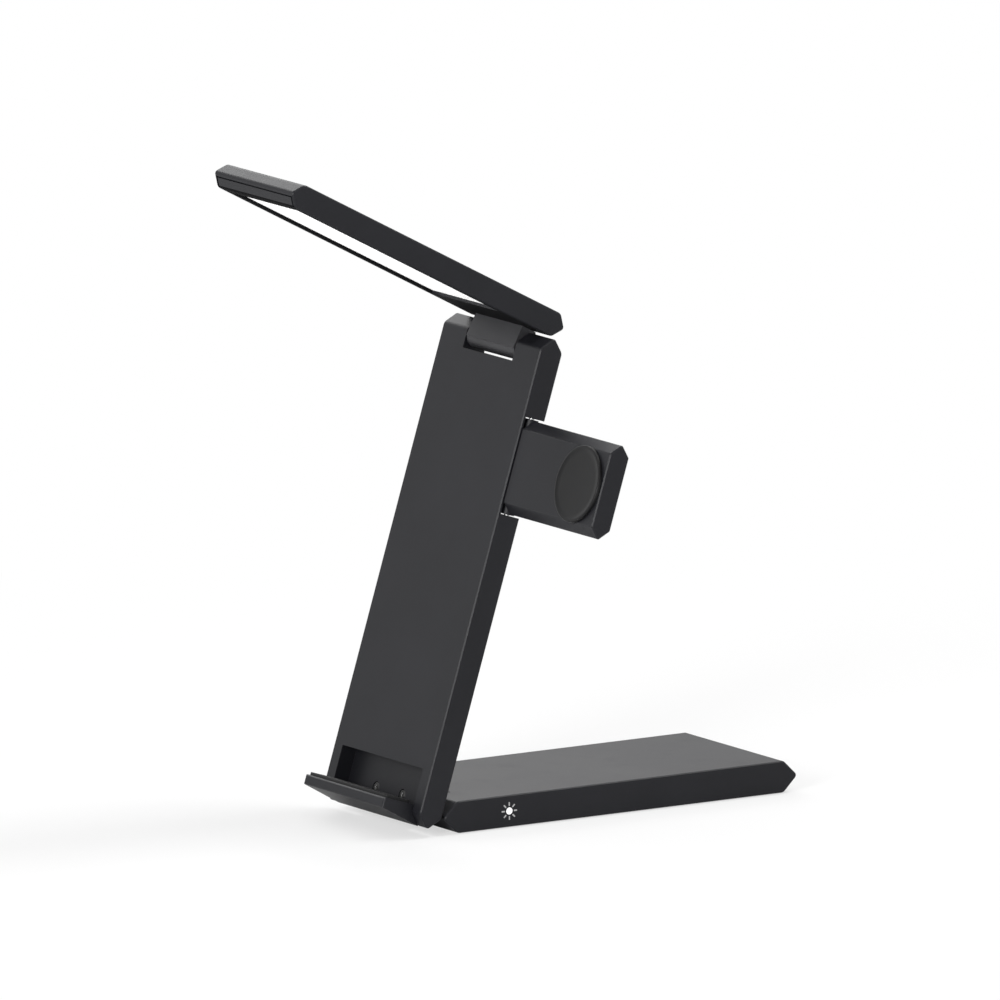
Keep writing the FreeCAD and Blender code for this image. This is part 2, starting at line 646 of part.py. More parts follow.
def nose_grooves():
    """Narrow groove across the lamp's lower front bevel and down both of its sides."""
    half = LAMP_WIDTH / 2 - GROOVE_MARGIN
    foot = math.hypot(LAMP_BEVEL, LAMP_THICKNESS / 2)
    return [nose_prism(GROOVE_PLACE, GROOVE_PLACE + GROOVE_WIDTH, -half, half),
            nose_prism(GROOVE_PLACE, foot, -half, GROOVE_SIDE - half),
            nose_prism(GROOVE_PLACE, foot, half - GROOVE_SIDE, half)]


def lamp_housing():
    """Bottom frame and top shell of the lamp."""
    slab = pointed_slab(LAMP_WIDTH, LAMP_LENGTH, LAMP_THICKNESS, LAMP_BEVEL, LAMP_TIP_ROUND, CORNER_ROUND)
    slab = slab.cut(nose_grooves())
    slab.translate(FreeCAD.Vector(0, LAMP_TIP, LAMP_MIDDLE))
    inside = LAMP_WIDTH / 2 - LAMP_WALL
    end = LAMP_BEVEL + LAMP_WALL
    cavity = box(-inside, inside, LAMP_TIP + end, LAMP_REAR_OVERHANG - end,
                 LAMP_FLOOR, LAMP_FLOOR + LAMP_THICKNESS - 2 * LAMP_SKIN)
    cuts = [cavity, window_box(0, LAMP_STANDOFF, LAMP_FLOOR),
            window_box(WINDOW_REBATE, LAMP_STANDOFF + WINDOW_LIP, LAMP_FLOOR)]
    cuts += [screw_hole(x, y, LAMP_FLOOR, LAMP_SKIN, -1, SCREW_CLEARANCE) for x, y in lamp_screw_places()]
    hollow = slab.cut(cuts)
    return below(hollow, LAMP_MIDDLE), above(hollow, LAMP_MIDDLE)


def lamp_diffuser():
    """Milky window plate on the lip of the bottom frame."""
    foot = LAMP_STANDOFF + WINDOW_LIP
    return window_box(WINDOW_REBATE - PAD_GAP, foot, foot + DIFFUSER_THICKNESS)


def light_board_foot():
    """Underside of the light board, which hangs from the lamp's top."""
    return LAMP_STANDOFF + LAMP_THICKNESS - LAMP_SKIN - BOARD_THICKNESS


def lamp_light_board():
    """Metal-backed board against the inside of the lamp's top."""
    foot = light_board_foot()
    return window_box(-LIGHT_BOARD_MARGIN, foot, foot + BOARD_THICKNESS)


def lamp_led_chips():
    """Two rows of LEDs under the light board."""
    foot = light_board_foot()
    count = int((WINDOW_LENGTH - 2 * LED_PITCH) / LED_PITCH) + 1
    start = LAMP_TIP + LAMP_BEVEL + BEZEL + (WINDOW_LENGTH - (count - 1) * LED_PITCH) / 2
    chips = []
    for row in (-1, 1):
        x = row * LED_ROW_SPACING / 2
        for index in range(count):
            y = start + index * LED_PITCH
            chips.append(box(x - LED_WIDTH / 2, x + LED_WIDTH / 2, y - LED_LENGTH / 2, y + LED_LENGTH / 2,
                             foot - LED_HEIGHT, foot))
    return Part.makeCompound(chips)


def lamp_screw_places():
    """Middle of each screw of the lamp's hinge block."""
    return [(side * HINGE_SCREW_SPREAD, -LAMP_SCREW_INSET) for side in (-1, 1)]


def lamp_hinge_block():
    """Barrel block under the lamp, which turns in the slot of the panel."""
    rear = LAMP_REAR_OVERHANG - LAMP_BEVEL
    neck = [(-LAMP_BARREL, -LAMP_SKIRT), (0, -LAMP_SKIRT), (LAMP_BARREL, 0), (rear, LAMP_STANDOFF),
            (-LAMP_BARREL, LAMP_STANDOFF)]
    holes = [screw_hole(x, y, LAMP_STANDOFF, HINGE_SCREW_BITE, -1, SEAT_GAP) for x, y in lamp_screw_places()]
    return barrel_block(LAMP_BARREL, neck).cut(holes)


def lamp_hinge_screws():
    """Two screws from inside the lamp into its hinge block."""
    bite = LAMP_SKIN + HINGE_SCREW_BITE
    return Part.makeCompound([screw(x, y, LAMP_FLOOR, bite, -1) for x, y in lamp_screw_places()])


def puck_disc(gap, top):
    """Outline of the round pad from its seat in the arm, grown by a gap, up to a given height."""
    seat = ARM_THICKNESS / 2 - PUCK_SEAT
    return rod_z(PUCK_DIAMETER / 2 + gap, seat, top, PUCK_X, ARM_MIDDLE)


def arm_shells():
    """Front and rear half shells of the arm, the rear one with the hinge knuckle."""
    length = ARM_END - ARM_BODY_START
    slab = pointed_slab(length, ARM_HEIGHT, ARM_THICKNESS, ARM_BEVEL, ARM_TIP_ROUND, ARM_CORNER_ROUND)
    slab.translate(FreeCAD.Vector(ARM_BODY_START + length / 2, ARM_FOOT, 0))
    rim = ARM_BEVEL + ARM_WALL
    cavity = box(ARM_BODY_START + ARM_WALL, ARM_END - ARM_WALL, ARM_FOOT + rim, ARM_FOOT + ARM_HEIGHT - rim,
                 -ARM_INNER, ARM_INNER)
    hollow = slab.cut([cavity, puck_disc(PAD_GAP, ARM_THICKNESS / 2)])
    knuckle = rod_y(ARM_KNUCKLE_RADIUS, ARM_FOOT, ARM_FOOT + ARM_HEIGHT, ARM_PIN_X, ARM_PIN_DEPTH)
    web = box(ARM_PIN_X, ARM_BODY_START, ARM_FOOT + ARM_BEVEL, ARM_FOOT + ARM_HEIGHT - ARM_BEVEL,
              ARM_PIN_DEPTH - ARM_KNUCKLE_RADIUS, ARM_PIN_DEPTH + ARM_KNUCKLE_RADIUS)
    bore = rod_y(SMALL_PIN / 2 + RUN_GAP, ARM_FOOT, ARM_FOOT + ARM_HEIGHT, ARM_PIN_X, ARM_PIN_DEPTH)
    rear = below(hollow, 0).fuse([knuckle, web]).removeSplitter().cut(bore)
    return above(hollow, 0), rear


def watch_puck():
    """Round charging pad on the front of the arm."""
    puck = puck_disc(0, ARM_THICKNESS / 2 + PUCK_PROUD)
    rims = [edge for edge in puck.Edges if edge.BoundBox.ZMin > ARM_THICKNESS / 2]
    return puck.makeChamfer(PUCK_CHAMFER, rims)


def watch_coil():
    """Flat coil under the arm's front skin."""
    return ring_z(WATCH_COIL_OUTER, WATCH_COIL_INNER, ARM_INNER - WATCH_COIL_THICKNESS, ARM_INNER,
                  PUCK_X, ARM_MIDDLE)


def watch_magnet():
    """Holding magnet in the middle of the arm's coil."""
    return rod_z(WATCH_MAGNET / 2, ARM_INNER - WATCH_COIL_THICKNESS, ARM_INNER, PUCK_X, ARM_MIDDLE)


def watch_ferrite():
    """Square shield behind the arm's coil."""
    top = ARM_INNER - WATCH_COIL_THICKNESS
    return square_block(WATCH_COIL_OUTER, top - FERRITE_THICKNESS, top, PUCK_X, ARM_MIDDLE)


def tilt(angle):
    """Turn about X."""
    return FreeCAD.Rotation(FreeCAD.Vector(1, 0, 0), angle)


def placements():
    """Where the base, the panel and the lamp stand at rest."""
    base = FreeCAD.Placement(FreeCAD.Vector(0, -BASE_LENGTH / 2, BASE_MIDDLE), tilt(0))
    lean = tilt(90 - PANEL_ANGLE)
    base_pivot = base.multVec(FreeCAD.Vector(0, BASE_PIVOT_INSET, 0))
    panel_pivot = FreeCAD.Vector(0, PANEL_PIVOT_HEIGHT, BASE_PIVOT_DEPTH)
    panel = FreeCAD.Placement(base_pivot - lean.multVec(panel_pivot), lean)
    lamp_pivot = panel.multVec(FreeCAD.Vector(0, LAMP_PIVOT_HEIGHT, 0))
    return base, panel, FreeCAD.Placement(lamp_pivot, tilt(-LAMP_ANGLE))


def base_pieces():
    """Pieces that stay on the table."""
    lower, upper = base_shells()
    return {
        "base_lower_shell": lower,
        "base_upper_shell": upper,
        "base_foot_pad": base_foot_pad(),
        "base_ballast": base_ballast(),
        "base_circuit_board": base_circuit_board(),
        "usb_c_socket": usb_c_socket(),
        "earbud_coil": earbud_coil(),
        "earbud_ferrite": earbud_ferrite(),
        "touch_key_symbol": Part.makeCompound(symbol_pieces(0)),
        "touch_key_board": touch_key_board(),
        "base_screws": base_screws(),
        "base_hinge_pin": hinge_pin(BASE_PIVOT_INSET, 0),
    }


def panel_pieces():
    """Pieces of the panel, the ledge and the arm."""
    plate, tray = panel_housing()
    arm_front, arm_rear = arm_shells()
    return {
        "panel_front_plate": plate,
        "panel_rear_tray": tray,
        "panel_hinge_block": panel_hinge_block(),
        "panel_hinge_screws": panel_hinge_screws(),
        "phone_coil": phone_coil(),
        "phone_ferrite": phone_ferrite(),
        "panel_circuit_board": panel_circuit_board(),
        "lamp_hinge_pin": hinge_pin(LAMP_PIVOT_HEIGHT, 0),
        "ledge_pin": ledge_pin(),
        "watch_arm_pin": watch_arm_pin(),
        "ledge": ledge(),
        "ledge_pad": ledge_pad(),
        "arm_front_shell": arm_front,
        "arm_rear_shell": arm_rear,
        "watch_puck": watch_puck(),
        "watch_coil": watch_coil(),
        "watch_magnet": watch_magnet(),
        "watch_ferrite": watch_ferrite(),
    }


def lamp_pieces():
    """Pieces of the lamp."""
    frame, shell = lamp_housing()
    return {
        "lamp_bottom_frame": frame,
        "lamp_top_shell": shell,
        "lamp_diffuser": lamp_diffuser(),
        "lamp_light_board": lamp_light_board(),
        "lamp_led_chips": lamp_led_chips(),
        "lamp_hinge_block": lamp_hinge_block(),
        "lamp_hinge_screws": lamp_hinge_screws(),
    }


def main():
    """Place every piece and write it to its own file."""
    os.makedirs("parts", exist_ok=True)
    groups = (base_pieces(), panel_pieces(), lamp_pieces())
    for pieces, place in zip(groups, placements()):
        for name, shape in pieces.items():
            placed = shape.copy()
            placed.Placement = place.multiply(placed.Placement)
            placed.exportStep(os.path.join("parts", name + ".step"))


main()
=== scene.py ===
import json
import math

import bmesh
import bpy
from bpy.props import FloatProperty, FloatVectorProperty, IntProperty, PointerProperty
from mathutils import Matrix, Vector


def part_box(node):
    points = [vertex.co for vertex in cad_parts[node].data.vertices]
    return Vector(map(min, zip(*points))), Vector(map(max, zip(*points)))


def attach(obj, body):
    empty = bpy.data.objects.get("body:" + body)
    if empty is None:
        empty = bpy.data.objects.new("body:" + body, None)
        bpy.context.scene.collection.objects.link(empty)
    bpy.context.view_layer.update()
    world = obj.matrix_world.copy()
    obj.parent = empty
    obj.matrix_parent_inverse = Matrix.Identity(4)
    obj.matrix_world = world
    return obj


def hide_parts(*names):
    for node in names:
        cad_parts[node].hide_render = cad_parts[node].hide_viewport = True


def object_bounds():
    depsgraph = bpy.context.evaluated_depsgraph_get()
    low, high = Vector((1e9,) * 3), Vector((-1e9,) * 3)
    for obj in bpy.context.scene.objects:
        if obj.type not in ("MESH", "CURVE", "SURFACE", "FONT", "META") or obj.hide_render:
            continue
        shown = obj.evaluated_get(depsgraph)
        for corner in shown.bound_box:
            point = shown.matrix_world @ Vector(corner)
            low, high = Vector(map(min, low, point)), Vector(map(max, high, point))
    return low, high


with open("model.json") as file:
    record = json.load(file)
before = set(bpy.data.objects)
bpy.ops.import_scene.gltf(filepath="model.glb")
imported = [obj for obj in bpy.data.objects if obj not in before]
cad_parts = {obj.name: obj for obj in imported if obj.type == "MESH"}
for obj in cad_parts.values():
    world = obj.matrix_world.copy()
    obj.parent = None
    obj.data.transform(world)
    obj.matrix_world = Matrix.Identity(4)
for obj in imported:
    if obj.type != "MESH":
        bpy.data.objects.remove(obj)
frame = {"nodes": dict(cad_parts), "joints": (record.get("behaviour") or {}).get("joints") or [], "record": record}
CAD_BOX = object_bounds()

bl_info = {
    "name": "Folding charging stand",
    "version": (1, 0, 0),
    "blender": (4, 5, 0),
    "location": "View3D > Sidebar > Stand",
    "description": "Finishes and stages a folding charging stand with a lamp",
    "category": "Object",
}

IMAGE_WIDTH = 1000
SENSOR_WIDTH = 36.0
MM = 0.001
JOINTS = {joint["name"]: joint for joint in frame["joints"]}
SLOT_OF = {part["node"]: part["material_slot"] for part in frame["record"]["subparts"]}

# Directions of the leaning panel: across, up its face, and out of its face
ACROSS = Vector((1, 0, 0))
UP = Vector(JOINTS["watch_swing"]["axis"]).normalized()
OUT = ACROSS.cross(UP)

# Fineness of the meshes: rows to a rib, parts of a pad's rounded rim, rings of the dished face
RIB_STEPS = 8
RIM_STEPS = 4
DISH_RINGS = 8
# Share of the dish's depth by which its face rises towards the rim
DISH_RISE = 0.6
SCREW_HEAD_RADIUS = 2.0 * MM
SMOOTH_BELOW = math.radians(35)

# Places of the lights from the camera's aim, and the widths and heights of the soft boxes
SUN_PLACE = (-1.0, -0.9, 2.4)
SUN_SPREAD = math.radians(50)
SOFT_BOXES = {
    "side_box": ((-1.15, 0.26, 0.70), 0.8, 0.5),
    "top_box": ((0.25, 0.7, 1.3), 0.45, 0.45),
    "front_box": ((0.72, -1.08, 0.33), 0.35, 0.35),
}
# Share of the floor's reach at which it starts to fade
FADE_START = 0.3


class StandFinish(bpy.types.PropertyGroup):
    """Colours and textures of the stand."""

    shell_colour: FloatVectorProperty(
        name="Shell", description="Colour of the moulded shells", subtype="COLOR",
        size=4, min=0, max=1, default=(0.0086, 0.0088, 0.011, 1))
    shell_bloom: FloatVectorProperty(
        name="Shell bloom", description="Paler tone in the flow marks of the shells",
        subtype="COLOR", size=4, min=0, max=1, default=(0.0113, 0.0115, 0.0142, 1))
    # Painted light: the hinge blocks get a paler copy of the shell plastic, standing in for the brighter light
    # they catch
    painted_light_hinge_colour: FloatVectorProperty(
        name="Hinge blocks", description="Colour of the hinge blocks", subtype="COLOR",
        size=4, min=0, max=1, default=(0.03, 0.03, 0.0325, 1))
    # Painted shade: this darker colour is laid on the lamp's downward faces and window walls to stand in for the
    # shade under the lamp
    underside_shade_colour: FloatVectorProperty(
        name="Dull underside", description="Colour of the lamp's dull face round its window",
        subtype="COLOR", size=4, min=0, max=1, default=(0.004, 0.004, 0.0045, 1))
    shell_roughness: FloatProperty(
        name="Shell roughness", description="Mean roughness of the shells", subtype="FACTOR",
        min=0, max=1, default=0.39)
    grain: FloatProperty(
        name="Grain", description="Width of one grain of the shells' texture", unit="LENGTH",
        min=0.00005, max=0.002, default=0.00022)
    rubber_colour: FloatVectorProperty(
        name="Rubber", description="Colour of the soft pads", subtype="COLOR",
        size=4, min=0, max=1, default=(0.0075, 0.0075, 0.008, 1))
    pad_colour: FloatVectorProperty(
        name="Round pad", description="Colour of the round charging pad", subtype="COLOR",
        size=4, min=0, max=1, default=(0.006, 0.006, 0.0065, 1))
    window_colour: FloatVectorProperty(
        name="Light window", description="Colour of the lamp's window", subtype="COLOR",
        size=4, min=0, max=1, default=(0.88, 0.88, 0.87, 1))
    window_glow: FloatProperty(
        name="Window glow", description="Light that the lamp's window gives",
        min=0, max=10, default=0.4)
    symbol_glow: FloatProperty(
        name="Symbol glow", description="Light that the touch key's symbol gives",
        min=0, max=10, default=0.35)


class StandStage(bpy.types.PropertyGroup):
    """Floor, lights and camera."""

    camera_turn: FloatProperty(
        name="Turn", description="Camera's turn to the right of the stand's front", subtype="ANGLE",
        default=math.radians(58.741))
    camera_rise: FloatProperty(
        name="Rise", description="Camera's height above the horizon", subtype="ANGLE",
        default=math.radians(10.326))
    camera_roll: FloatProperty(
        name="Roll", description="Camera's roll about its line of sight", subtype="ANGLE",
        default=math.radians(-0.601))
    camera_distance: FloatProperty(
        name="Distance", description="Camera's distance from the aim", unit="LENGTH", default=12.0)
    camera_scale: FloatProperty(
        name="Scale", description="Pixels of the image for one metre at the aim", default=2787.9)
    camera_aim: FloatVectorProperty(
        name="Aim", description="Point in the middle of the image", subtype="TRANSLATION",
        size=3, default=(-0.024675, -0.0143, 0.107026))
    floor_colour: FloatVectorProperty(
        name="Floor", description="Colour of the floor", subtype="COLOR",
        size=4, min=0, max=1, default=(0.93, 0.93, 0.93, 1))
    floor_size: FloatProperty(
        name="Floor size", description="Length of a side of the floor", unit="LENGTH", default=12.0)
    sky: FloatProperty(
        name="Sky", description="Even light from all round", min=0, max=5, default=0.42)
    sun: FloatProperty(
        name="Sun", description="Soft light from the upper left", min=0, max=20, default=0.3)
    side_box: FloatProperty(
        name="Side box", description="Power of the soft box on the left",
        subtype="POWER", min=0, max=500, default=4.0)
    top_box: FloatProperty(
        name="Top box", description="Power of the soft box overhead",
        subtype="POWER", min=0, max=500, default=10.0)
    front_box: FloatProperty(
        name="Front box", description="Power of the soft box at the front right",
        subtype="POWER", min=0, max=500, default=10.5)
    floor_reach: FloatProperty(
        name="Floor reach", description="Distance at which the floor fades into the white backdrop",
        unit="LENGTH", default=0.5)
    floor_shadow: FloatProperty(
        name="Floor shadow", description="Share of the stand's shadow that the floor shows",
        subtype="FACTOR", min=0, max=1, default=0.4)


class Wire:
    """A node's output in an expression: arithmetic on it adds Math nodes to its tree."""

    def __init__(self, tree, socket):
        self.tree = tree
        self.socket = socket

    def math(self, operation, left, right):
        node = self.tree.nodes.new("ShaderNodeMath")
        node.operation = operation
        for entry, value in zip(node.inputs, (left, right)):
            plug(self.tree, entry, value)
        return Wire(self.tree, node.outputs[0])

    def __add__(self, other):
        return self.math("ADD", self, other)

    def __radd__(self, other):
        return self.math("ADD", other, self)

    def __sub__(self, other):
        return self.math("SUBTRACT", self, other)

    def __rsub__(self, other):
        return self.math("SUBTRACT", other, self)

    def __mul__(self, other):
        return self.math("MULTIPLY", self, other)

    def __rmul__(self, other):
        return self.math("MULTIPLY", other, self)


def plug(tree, entry, value):
    """Link a wire to a socket, or set the socket's own value."""
    if isinstance(value, Wire):
        tree.links.new(value.socket, entry)
    else:
        entry.default_value = value


class Weave:
    """A tree of shader nodes."""

    def __init__(self, tree):
        self.tree = tree
        self.tree.nodes.clear()

    def node(self, kind, settings, sockets, output=None):
        """Add a node: its settings, then the values or wires of its sockets, by name or place."""
        made = self.tree.nodes.new(kind)
        for name, value in settings.items():
            setattr(made, name, value)
        for name, value in sockets.items():
            entry = next(entry for place, entry in enumerate(made.inputs)
                         if name in (place, entry.name) and entry.enabled)
            plug(self.tree, entry, value)
        exits = [leaving for leaving in made.outputs
                 if leaving.enabled and output in (None, leaving.name)]
        return Wire(self.tree, exits[0]) if exits else None


class Finish(Weave):
    """A material: a shader, the values that are the same all over it, and what feeds it."""

    def __init__(self, name, constants):
        self.material = bpy.data.materials.new(name)
        self.material.use_nodes = True
        super().__init__(self.material.node_tree)
        self.surface = self.node("ShaderNodeBsdfPrincipled", {}, constants)
        self.shader = self.surface.socket.node
        self.place = self.node("ShaderNodeTexCoord", {}, {}, "Object")
        self.normal = self.node("ShaderNodeTexCoord", {}, {}, "Normal")

    def feed(self, sockets):
        """Set or link the shader's sockets."""
        for name, value in sockets.items():
            plug(self.tree, self.shader.inputs[name], value)

    def cover(self, mask, layer):
        """Lay another shader over the first where a mask is 1."""
        self.surface = self.node("ShaderNodeMixShader", {}, {0: mask, 1: self.surface, 2: layer})

    def done(self):
        """Close the material."""
        self.node("ShaderNodeOutputMaterial", {}, {"Surface": self.surface})
        return self.material

    def noise(self, size, detail, place=None):
        """Noise between 0 and 1, with blotches of a given size in metres."""
        return self.node("ShaderNodeTexNoise", {}, {
            "Vector": place or self.place, "Scale": 1 / size, "Detail": detail}, "Fac")

    def cells(self, size):
        """Distance to the nearest of many scattered points, a given size in metres apart."""
        return self.node("ShaderNodeTexVoronoi", {}, {
            "Vector": self.place, "Scale": 1 / size}, "Distance")

    def scaled(self, scale):
        """Place on the surface, multiplied along each axis."""
        return self.node("ShaderNodeVectorMath", {"operation": "MULTIPLY"}, {
            0: self.place, 1: scale})

    def reach(self, centre):
        """Distance from a point."""
        return self.node("ShaderNodeVectorMath", {"operation": "DISTANCE"}, {
            0: self.place, 1: centre}, "Value")

    def rings(self, centre, pitch):
        """Ridges round a point, a pitch apart."""
        turns = self.reach(centre) * (2 * math.pi / pitch)
        return turns.math("SINE", turns, 0.0)

    def facing(self, direction):
        """1 where the surface looks along a direction at rest, and 0 elsewhere."""
        share = self.node("ShaderNodeVectorMath", {"operation": "DOT_PRODUCT"}, {
            0: self.normal, 1: direction}, "Value")
        return self.step(share, low=0.7, high=0.8)

    def inward(self, reach):
        """1 on walls that look to the stand's middle from within a reach, and 0 elsewhere."""
        across = self.node("ShaderNodeSeparateXYZ", {}, {"Vector": self.place}, "X") * (1 / reach)
        turned = self.node("ShaderNodeSeparateXYZ", {}, {"Vector": self.normal}, "X")
        return self.step(across * turned, low=-0.4, high=-0.7)

    def mix(self, factor, first, second):
        """Colour between two."""
        return self.node("ShaderNodeMix", {"data_type": "RGBA"}, {
            "Factor": factor, "A": first, "B": second})

    def step(self, value, low, high):
        """Value drawn out from 0 at low to 1 at high."""
        return self.node("ShaderNodeMapRange", {"interpolation_type": "SMOOTHSTEP"}, {
            "Value": value, "From Min": low, "From Max": high})

    def bump(self, height, depth, strength):
        """Normal of a surface with a height between 0 and 1, a depth in metres."""
        return self.node("ShaderNodeBump", {}, {
            "Strength": strength, "Distance": depth, "Height": height})


def lifted(colour, lift):
    """Colour made lighter or darker."""
    return tuple(tone * lift for tone in colour[:3]) + (1,)


def shade(tone, warmth=0.0):
    """Grey colour, a little warmer or cooler."""
    return (tone * (1 + warmth), tone, tone * (1 - warmth), 1)


def moulding(name, finish_sizes, colour, bloom):
    """Satin plastic with a fine spark-eroded grain, and flow marks in a paler bloom."""
    finish = Finish(name, {"Specular IOR Level": 0.2})
    grain = finish.noise(finish_sizes.grain, detail=2.0)
    flow = finish.step(finish.noise(35 * MM, detail=3.0), low=0.3, high=0.7)
    touch = finish.step(finish.noise(11 * MM, detail=4.0), low=0.5, high=0.75)
    finish.feed({
        "Base Color": finish.mix(flow, tuple(colour), tuple(bloom)),
        "Roughness": finish_sizes.shell_roughness + flow * 0.02 + touch * 0.015 + grain * 0.06,
        "Normal": finish.bump(grain, depth=0.01 * MM, strength=0.6),
    })
    return finish


def charcoal_moulding(finish_sizes):
    """Charcoal plastic of the shells."""
    return moulding("charcoal_moulding", finish_sizes,
                    finish_sizes.shell_colour, finish_sizes.shell_bloom).done()


def hinge_moulding(finish_sizes):
    """Paler copy of the shell plastic on the hinge blocks: painted light standing in for their brighter
    reflection.
    """
    colour = finish_sizes.painted_light_hinge_colour
    return moulding("hinge_moulding", finish_sizes, colour, lifted(colour, 1.25)).done()


def lamp_frame_moulding(finish_sizes, downward, reach):
    """The shells' plastic, with painted shade round the window: a dull etched black, darker
    than the shells, where it looks down along a direction, and on walls within a reach."""
    finish = moulding("lamp_frame_moulding", finish_sizes,
                      finish_sizes.shell_colour, finish_sizes.shell_bloom)
    # Painted shade: downward faces and the window's inner walls get a darker, duller layer for the shade under the
    # lamp
    underside_shade_mask = finish.facing(tuple(downward))
    etch = finish.noise(0.5 * MM, detail=3.0)
    black = tuple(finish_sizes.underside_shade_colour)
    painted_shade_layer = finish.node("ShaderNodeBsdfPrincipled", {}, {
        "Base Color": finish.mix(etch, black, lifted(black, 1.8)),
        "Roughness": 0.7 + etch * 0.2,
        "Specular IOR Level": 0.03,
        "Normal": finish.bump(etch, depth=0.03 * MM, strength=0.7),
    })
    finish.cover(underside_shade_mask.math("MAXIMUM", underside_shade_mask, finish.inward(reach)), painted_shade_layer)
    return finish.done()


def soft_rubber(finish_sizes):
    """Matt black rubber with fine pits and a pale bloom in blotches."""
    finish = Finish("soft_rubber", {"Specular IOR Level": 0.3})
    pits = finish.cells(0.6 * MM)
    bloom = finish.step(finish.noise(6 * MM, detail=4.0), low=0.45, high=0.8)
    base = tuple(finish_sizes.rubber_colour)
    finish.feed({
        "Base Color": finish.mix(bloom, base, shade(0.016)),
        "Roughness": 0.72 + bloom * 0.12,
        "Normal": finish.bump(pits, depth=0.03 * MM, strength=0.5),
    })
    return finish.done()


def pad_gloss(finish_sizes):
    """Smooth black face of the round charging pad, with faint turning marks."""
    centre = middle("watch_puck")
    finish = Finish("pad_gloss", {"Specular IOR Level": 0.18})
    marks = finish.rings(tuple(centre), pitch=0.7 * MM)
    smear = finish.step(finish.noise(8 * MM, detail=3.0), low=0.45, high=0.75)
    finish.feed({
        "Base Color": finish.mix(smear, tuple(finish_sizes.pad_colour), shade(0.01)),
        "Roughness": 0.4 + smear * 0.08,
        "Normal": finish.bump(marks, depth=0.002 * MM, strength=0.4),
    })
    return finish.done()


def milky_window(finish_sizes):
    """Milky light window with a fine prism texture, lit from behind by two rows of lights."""
    finish = Finish("milky_window", {
        "Specular IOR Level": 0.35, "Emission Strength": finish_sizes.window_glow})
    prisms = finish.cells(1.1 * MM)
    haze = finish.noise(20 * MM, detail=2.0)
    finish.feed({
        "Base Color": finish.mix(haze, tuple(finish_sizes.window_colour), shade(0.82)),
        "Emission Color": finish.mix(prisms, shade(1.0, 0.01), shade(0.8, 0.01)),
        "Roughness": 0.34 + prisms * 0.2,
        "Normal": finish.bump(prisms, depth=0.04 * MM, strength=0.5),
    })
    return finish.done()


def glowing_symbol(finish_sizes):
    """White light guide of the touch key, dimmer in its rays than in its disc."""
    finish = Finish("glowing_symbol", {
        "Specular IOR Level": 0.4, "Emission Strength": finish_sizes.symbol_glow})
    haze = finish.noise(0.8 * MM, detail=3.0)
    reach = finish.reach(tuple(middle("touch_key_symbol")))
    rays = finish.step(reach, low=1.5 * MM, high=2.0 * MM)
    finish.feed({
        "Base Color": finish.mix(rays, finish.mix(haze, shade(0.85), shade(0.72)), shade(0.36)),
        "Emission Color": finish.mix(rays, finish.mix(haze, shade(1.0), shade(0.85)), shade(0.22)),
        "Roughness": 0.3 + haze * 0.15,
    })
    return finish.done()


def drawn_steel(name, tone, along, roughness):
    """Bright steel with drawing lines along one axis."""
    finish = Finish(name, {"Metallic": 1.0})
    lines = finish.noise(0.4 * MM, detail=3.0, place=finish.scaled(along))
    finish.feed({
        "Base Color": finish.mix(lines, shade(tone), shade(tone * 0.8)),
        "Roughness": roughness + lines * 0.16,
        "Normal": finish.bump(lines, depth=0.004 * MM, strength=0.4),
    })
    return finish.done()


def blackened_steel():
    """Blackened steel of the screws, rubbed bright in places."""
    finish = Finish("blackened_steel", {"Metallic": 1.0})
    rub = finish.step(finish.noise(1.2 * MM, detail=4.0), low=0.55, high=0.8)
    grit = finish.noise(0.3 * MM, detail=3.0)
    finish.feed({
        "Base Color": finish.mix(rub, shade(0.055), shade(0.16)),
        "Roughness": 0.42 - rub * 0.14,
        "Normal": finish.bump(grit, depth=0.004 * MM, strength=0.5),
    })
    return finish.done()


def enamelled_copper(name, node):
    """Flat coil of enamelled copper wire, its turns a wire's width apart."""
    finish = Finish(name, {"Metallic": 1.0, "Coat Roughness": 0.1})
    turns = finish.rings(tuple(middle(node)), pitch=0.8 * MM)
    finish.feed({
        "Base Color": finish.mix(turns, (0.42, 0.15, 0.06, 1), (0.72, 0.32, 0.16, 1)),
        "Roughness": 0.3 + turns * 0.08,
        "Coat Weight": 0.5 + turns * 0.1,
        "Normal": finish.bump(turns, depth=0.1 * MM, strength=0.8),
    })
    return finish.done()


def sintered_ferrite():
    """Dark grey sintered shield with a granular face."""
    finish = Finish("sintered_ferrite", {"Specular IOR Level": 0.4})
    grit = finish.cells(0.5 * MM)
    finish.feed({
        "Base Color": finish.mix(grit, shade(0.03), shade(0.06)),
        "Roughness": 0.6 + grit * 0.2,
        "Normal": finish.bump(grit, depth=0.03 * MM, strength=0.6),
    })
    return finish.done()


def solder_mask():
    """Green board with paler tracks under its mask."""
    finish = Finish("solder_mask", {"Specular IOR Level": 0.5})
    tracks = finish.step(finish.cells(3.5 * MM), low=0.42, high=0.46)
    weave = finish.noise(0.9 * MM, detail=2.0)
    finish.feed({
        "Base Color": finish.mix(tracks, (0.008, 0.075, 0.03, 1), (0.03, 0.16, 0.06, 1)),
        "Roughness": 0.28 + weave * 0.12,
        "Normal": finish.bump(tracks, depth=0.04 * MM, strength=0.6),
    })
    return finish.done()


def white_mask():
    """White board that throws the lamp's light down."""
    finish = Finish("white_mask", {"Specular IOR Level": 0.4})
    haze = finish.noise(4 * MM, detail=3.0)
    finish.feed({
        "Base Color": finish.mix(haze, shade(0.82), shade(0.74)),
        "Roughness": 0.45 + haze * 0.15,
    })
    return finish.done()


def light_chip():
    """Yellow cast face of a light-emitting chip."""
    finish = Finish("light_chip", {"Specular IOR Level": 0.5})
    cast = finish.noise(0.5 * MM, detail=3.0)
    finish.feed({
        "Base Color": finish.mix(cast, (0.8, 0.6, 0.12, 1), (0.85, 0.72, 0.3, 1)),
        "Roughness": 0.35 + cast * 0.2,
    })
    return finish.done()


